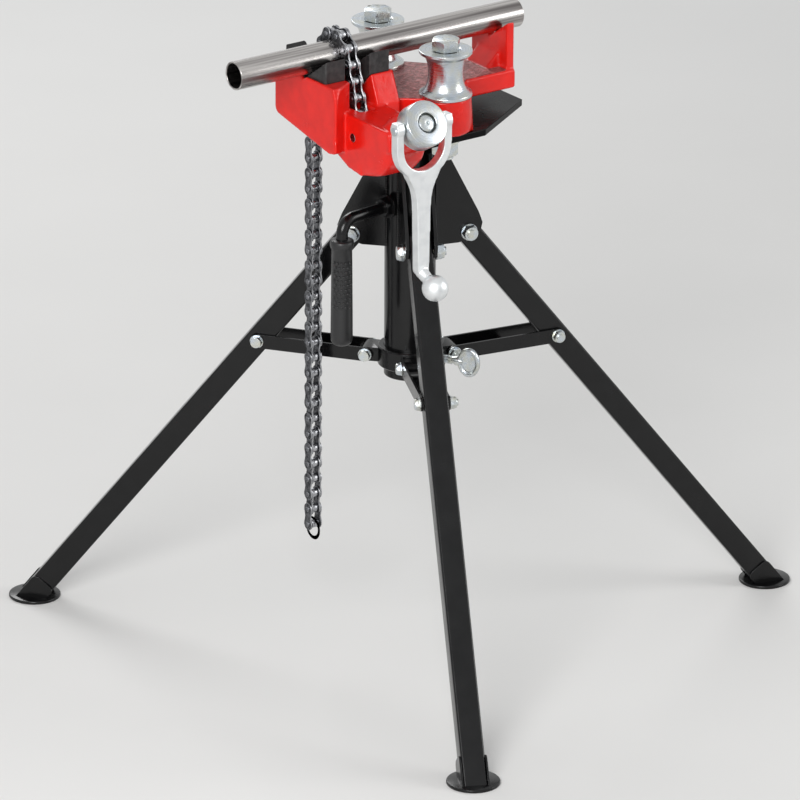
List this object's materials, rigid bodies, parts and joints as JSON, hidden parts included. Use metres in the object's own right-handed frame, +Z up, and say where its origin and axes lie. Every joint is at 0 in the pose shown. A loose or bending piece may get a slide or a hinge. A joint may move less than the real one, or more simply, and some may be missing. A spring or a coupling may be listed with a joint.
{
  "type": "tripod pipe vise stand",
  "caption": "Folding tripod stand with a chain pipe vise, bending rollers, a pipe rest, a fork-handled tension nut and a length of pipe clamped in the jaws.",
  "frame": {"origin": "on the floor under the column axis", "axes": "+Z up, +X along the pipe from the jaws to the pipe rest, the operator with the fork handle stands on the -Y side"},
  "size_m": [0.8083, 0.8114, 0.7728],
  "materials": {
    "black_enamel": "gloss",
    "red_enamel": "gloss",
    "zinc_plate": "satin",
    "bright_forging": "bright satin",
    "stainless_pipe": "polished",
    "chain_steel": "oiled",
    "black_oxide": "matte",
    "grip_rubber": "matte"
  },
  "bodies": {
    "stand": {"column": "black_enamel", "leg_brackets": "black_enamel", "leg_pivot_bolts": "zinc_plate", "rod_handle": "black_enamel", "handle_grip": "grip_rubber", "head_plate": "black_enamel", "vise_casting": "red_enamel", "jaw_left": "black_oxide", "jaw_right": "black_oxide", "jaw_screws": "black_oxide", "roller_bolts": "zinc_plate", "guide_pin": "chain_steel", "thrust_washer": "zinc_plate", "chain_wrap": "chain_steel"},
    "leg_front_body": {"leg_front": "black_enamel", "foot_front": "black_enamel"},
    "leg_rear_body": {"leg_rear": "black_enamel", "foot_rear": "black_enamel"},
    "leg_side_body": {"leg_side": "black_enamel", "foot_side": "black_enamel"},
    "collar_body": {"collar": "black_enamel", "collar_bolts": "zinc_plate"},
    "brace_front_body": {"brace_front": "black_enamel", "brace_bolt_front": "zinc_plate"},
    "brace_rear_body": {"brace_rear": "black_enamel", "brace_bolt_rear": "zinc_plate"},
    "brace_side_body": {"brace_side": "black_enamel", "brace_bolt_side": "zinc_plate"},
    "thumb_body": {"thumb_screw": "zinc_plate"},
    "roller_front_body": {"roller_front": "zinc_plate"},
    "roller_rear_body": {"roller_rear": "zinc_plate"},
    "guide_roller_body": {"guide_roller": "chain_steel"},
    "nut_body": {"tension_nut": "zinc_plate"},
    "screw_body": {"tension_screw": "zinc_plate"},
    "fork_body": {"fork_handle": "bright_forging"},
    "pipe_body": {"pipe": "stainless_pipe"},
    "ring_body": {"pull_ring": "zinc_plate"},
    "tail_1_body": {"chain_tail_1": "chain_steel"},
    "tail_2_body": {"chain_tail_2": "chain_steel"},
    "tail_3_body": {"chain_tail_3": "chain_steel"},
    "tail_4_body": {"chain_tail_4": "chain_steel"}
  },
  "joints": [
    {"name": "fold_front", "type": "hinge", "parent": "stand", "child": "leg_front_body", "pos_m": [-0.02955, -0.05901, 0.5], "axis": [0.8942, -0.4478, 0], "range_deg": [0, 30.3]},
    {"name": "fold_rear", "type": "hinge", "parent": "stand", "child": "leg_rear_body", "pos_m": [-0.04416, 0.04905, 0.5], "axis": [-0.7431, -0.6691, 0], "range_deg": [0, 30.31]},
    {"name": "fold_side", "type": "hinge", "parent": "stand", "child": "leg_side_body", "pos_m": [0.06344, -0.01819, 0.5], "axis": [0.2756, 0.9613, 0], "range_deg": [0, 30.31]},
    {"name": "collar_slide", "type": "slide", "parent": "stand", "child": "collar_body", "axis": [0, 0, 1], "range_m": [0, 0.09132]},
    {"name": "brace_front_turn", "type": "hinge", "parent": "collar_body", "child": "brace_front_body", "pos_m": [-0.02239, -0.04471, 0.35], "axis": [0.8942, -0.4478, 0], "range_deg": [0, 73.92]},
    {"name": "brace_rear_turn", "type": "hinge", "parent": "collar_body", "child": "brace_rear_body", "pos_m": [-0.03346, 0.03716, 0.35], "axis": [-0.7431, -0.6691, 0], "range_deg": [0, 73.92]},
    {"name": "brace_side_turn", "type": "hinge", "parent": "collar_body", "child": "brace_side_body", "pos_m": [0.04806, -0.01378, 0.35], "axis": [0.2756, 0.9613, 0], "range_deg": [0, 73.92]},
    {"name": "thumb_turn", "type": "hinge", "parent": "collar_body", "child": "thumb_body", "pos_m": [0.025, -0.0433, 0.35], "axis": [0.5, -0.866, 0], "continuous": true},
    {"name": "roller_front_spin", "type": "hinge", "parent": "stand", "child": "roller_front_body", "pos_m": [0, -0.067, 0.71], "axis": [0, 0, 1], "continuous": true},
    {"name": "roller_rear_spin", "type": "hinge", "parent": "stand", "child": "roller_rear_body", "pos_m": [0, 0.067, 0.71], "axis": [0, 0, 1], "continuous": true},
    {"name": "guide_roller_spin", "type": "hinge", "parent": "stand", "child": "guide_roller_body", "pos_m": [-0.105, -0.068, 0.66311], "axis": [1, 0, 0], "continuous": true},
    {"name": "nut_turn", "type": "hinge", "parent": "stand", "child": "nut_body", "pos_m": [-0.105, -0.16486, 0.7003], "axis": [0, -0.8572, 0.515], "range_deg": [-100, 45]},
    {"name": "screw_draw", "type": "slide", "parent": "stand", "child": "screw_body", "axis": [0, -0.8572, 0.515], "range_m": [-0.0008, 0.0014]},
    {"name": "fork_swing", "type": "hinge", "parent": "nut_body", "child": "fork_body", "pos_m": [-0.105, -0.16486, 0.7003], "axis": [1, 0, 0], "range_deg": [-130, 6]},
    {"name": "pipe_slide", "type": "slide", "parent": "stand", "child": "pipe_body", "axis": [1, 0, 0], "range_m": [-0.06, 0.06]},
    {"name": "chain_bend_1", "type": "hinge", "parent": "stand", "child": "tail_1_body", "pos_m": [-0.105, 0.047, 0.67737], "axis": [1, 0, 0], "range_deg": [-3, 4]},
    {"name": "chain_bend_2", "type": "hinge", "parent": "tail_1_body", "child": "tail_2_body", "pos_m": [-0.105, 0.047, 0.54402], "axis": [1, 0, 0], "range_deg": [-3, 8]},
    {"name": "chain_bend_3", "type": "hinge", "parent": "tail_2_body", "child": "tail_3_body", "pos_m": [-0.105, 0.047, 0.41067], "axis": [1, 0, 0], "range_deg": [-3, 10]},
    {"name": "chain_bend_4", "type": "hinge", "parent": "tail_3_body", "child": "tail_4_body", "pos_m": [-0.105, 0.047, 0.27732], "axis": [1, 0, 0], "range_deg": [-3, 10]},
    {"name": "ring_swing", "type": "hinge", "parent": "tail_4_body", "child": "ring_body", "pos_m": [-0.105, 0.047, 0.14397], "axis": [1, 0, 0], "range_deg": [-40, 40]}
  ],
  "couplings": [
    {"joint": "fold_rear", "follows": "fold_front", "ratio": 1},
    {"joint": "fold_side", "follows": "fold_front", "ratio": 1},
    {"joint": "collar_slide", "follows": "fold_front", "m_per_rad": 0.17231},
    {"joint": "brace_front_turn", "follows": "fold_front", "ratio": 2.4364},
    {"joint": "brace_rear_turn", "follows": "fold_front", "ratio": 2.4364},
    {"joint": "brace_side_turn", "follows": "fold_front", "ratio": 2.4364},
    {"joint": "screw_draw", "follows": "nut_turn", "m_per_rad": -0.00063662}
  ]
}
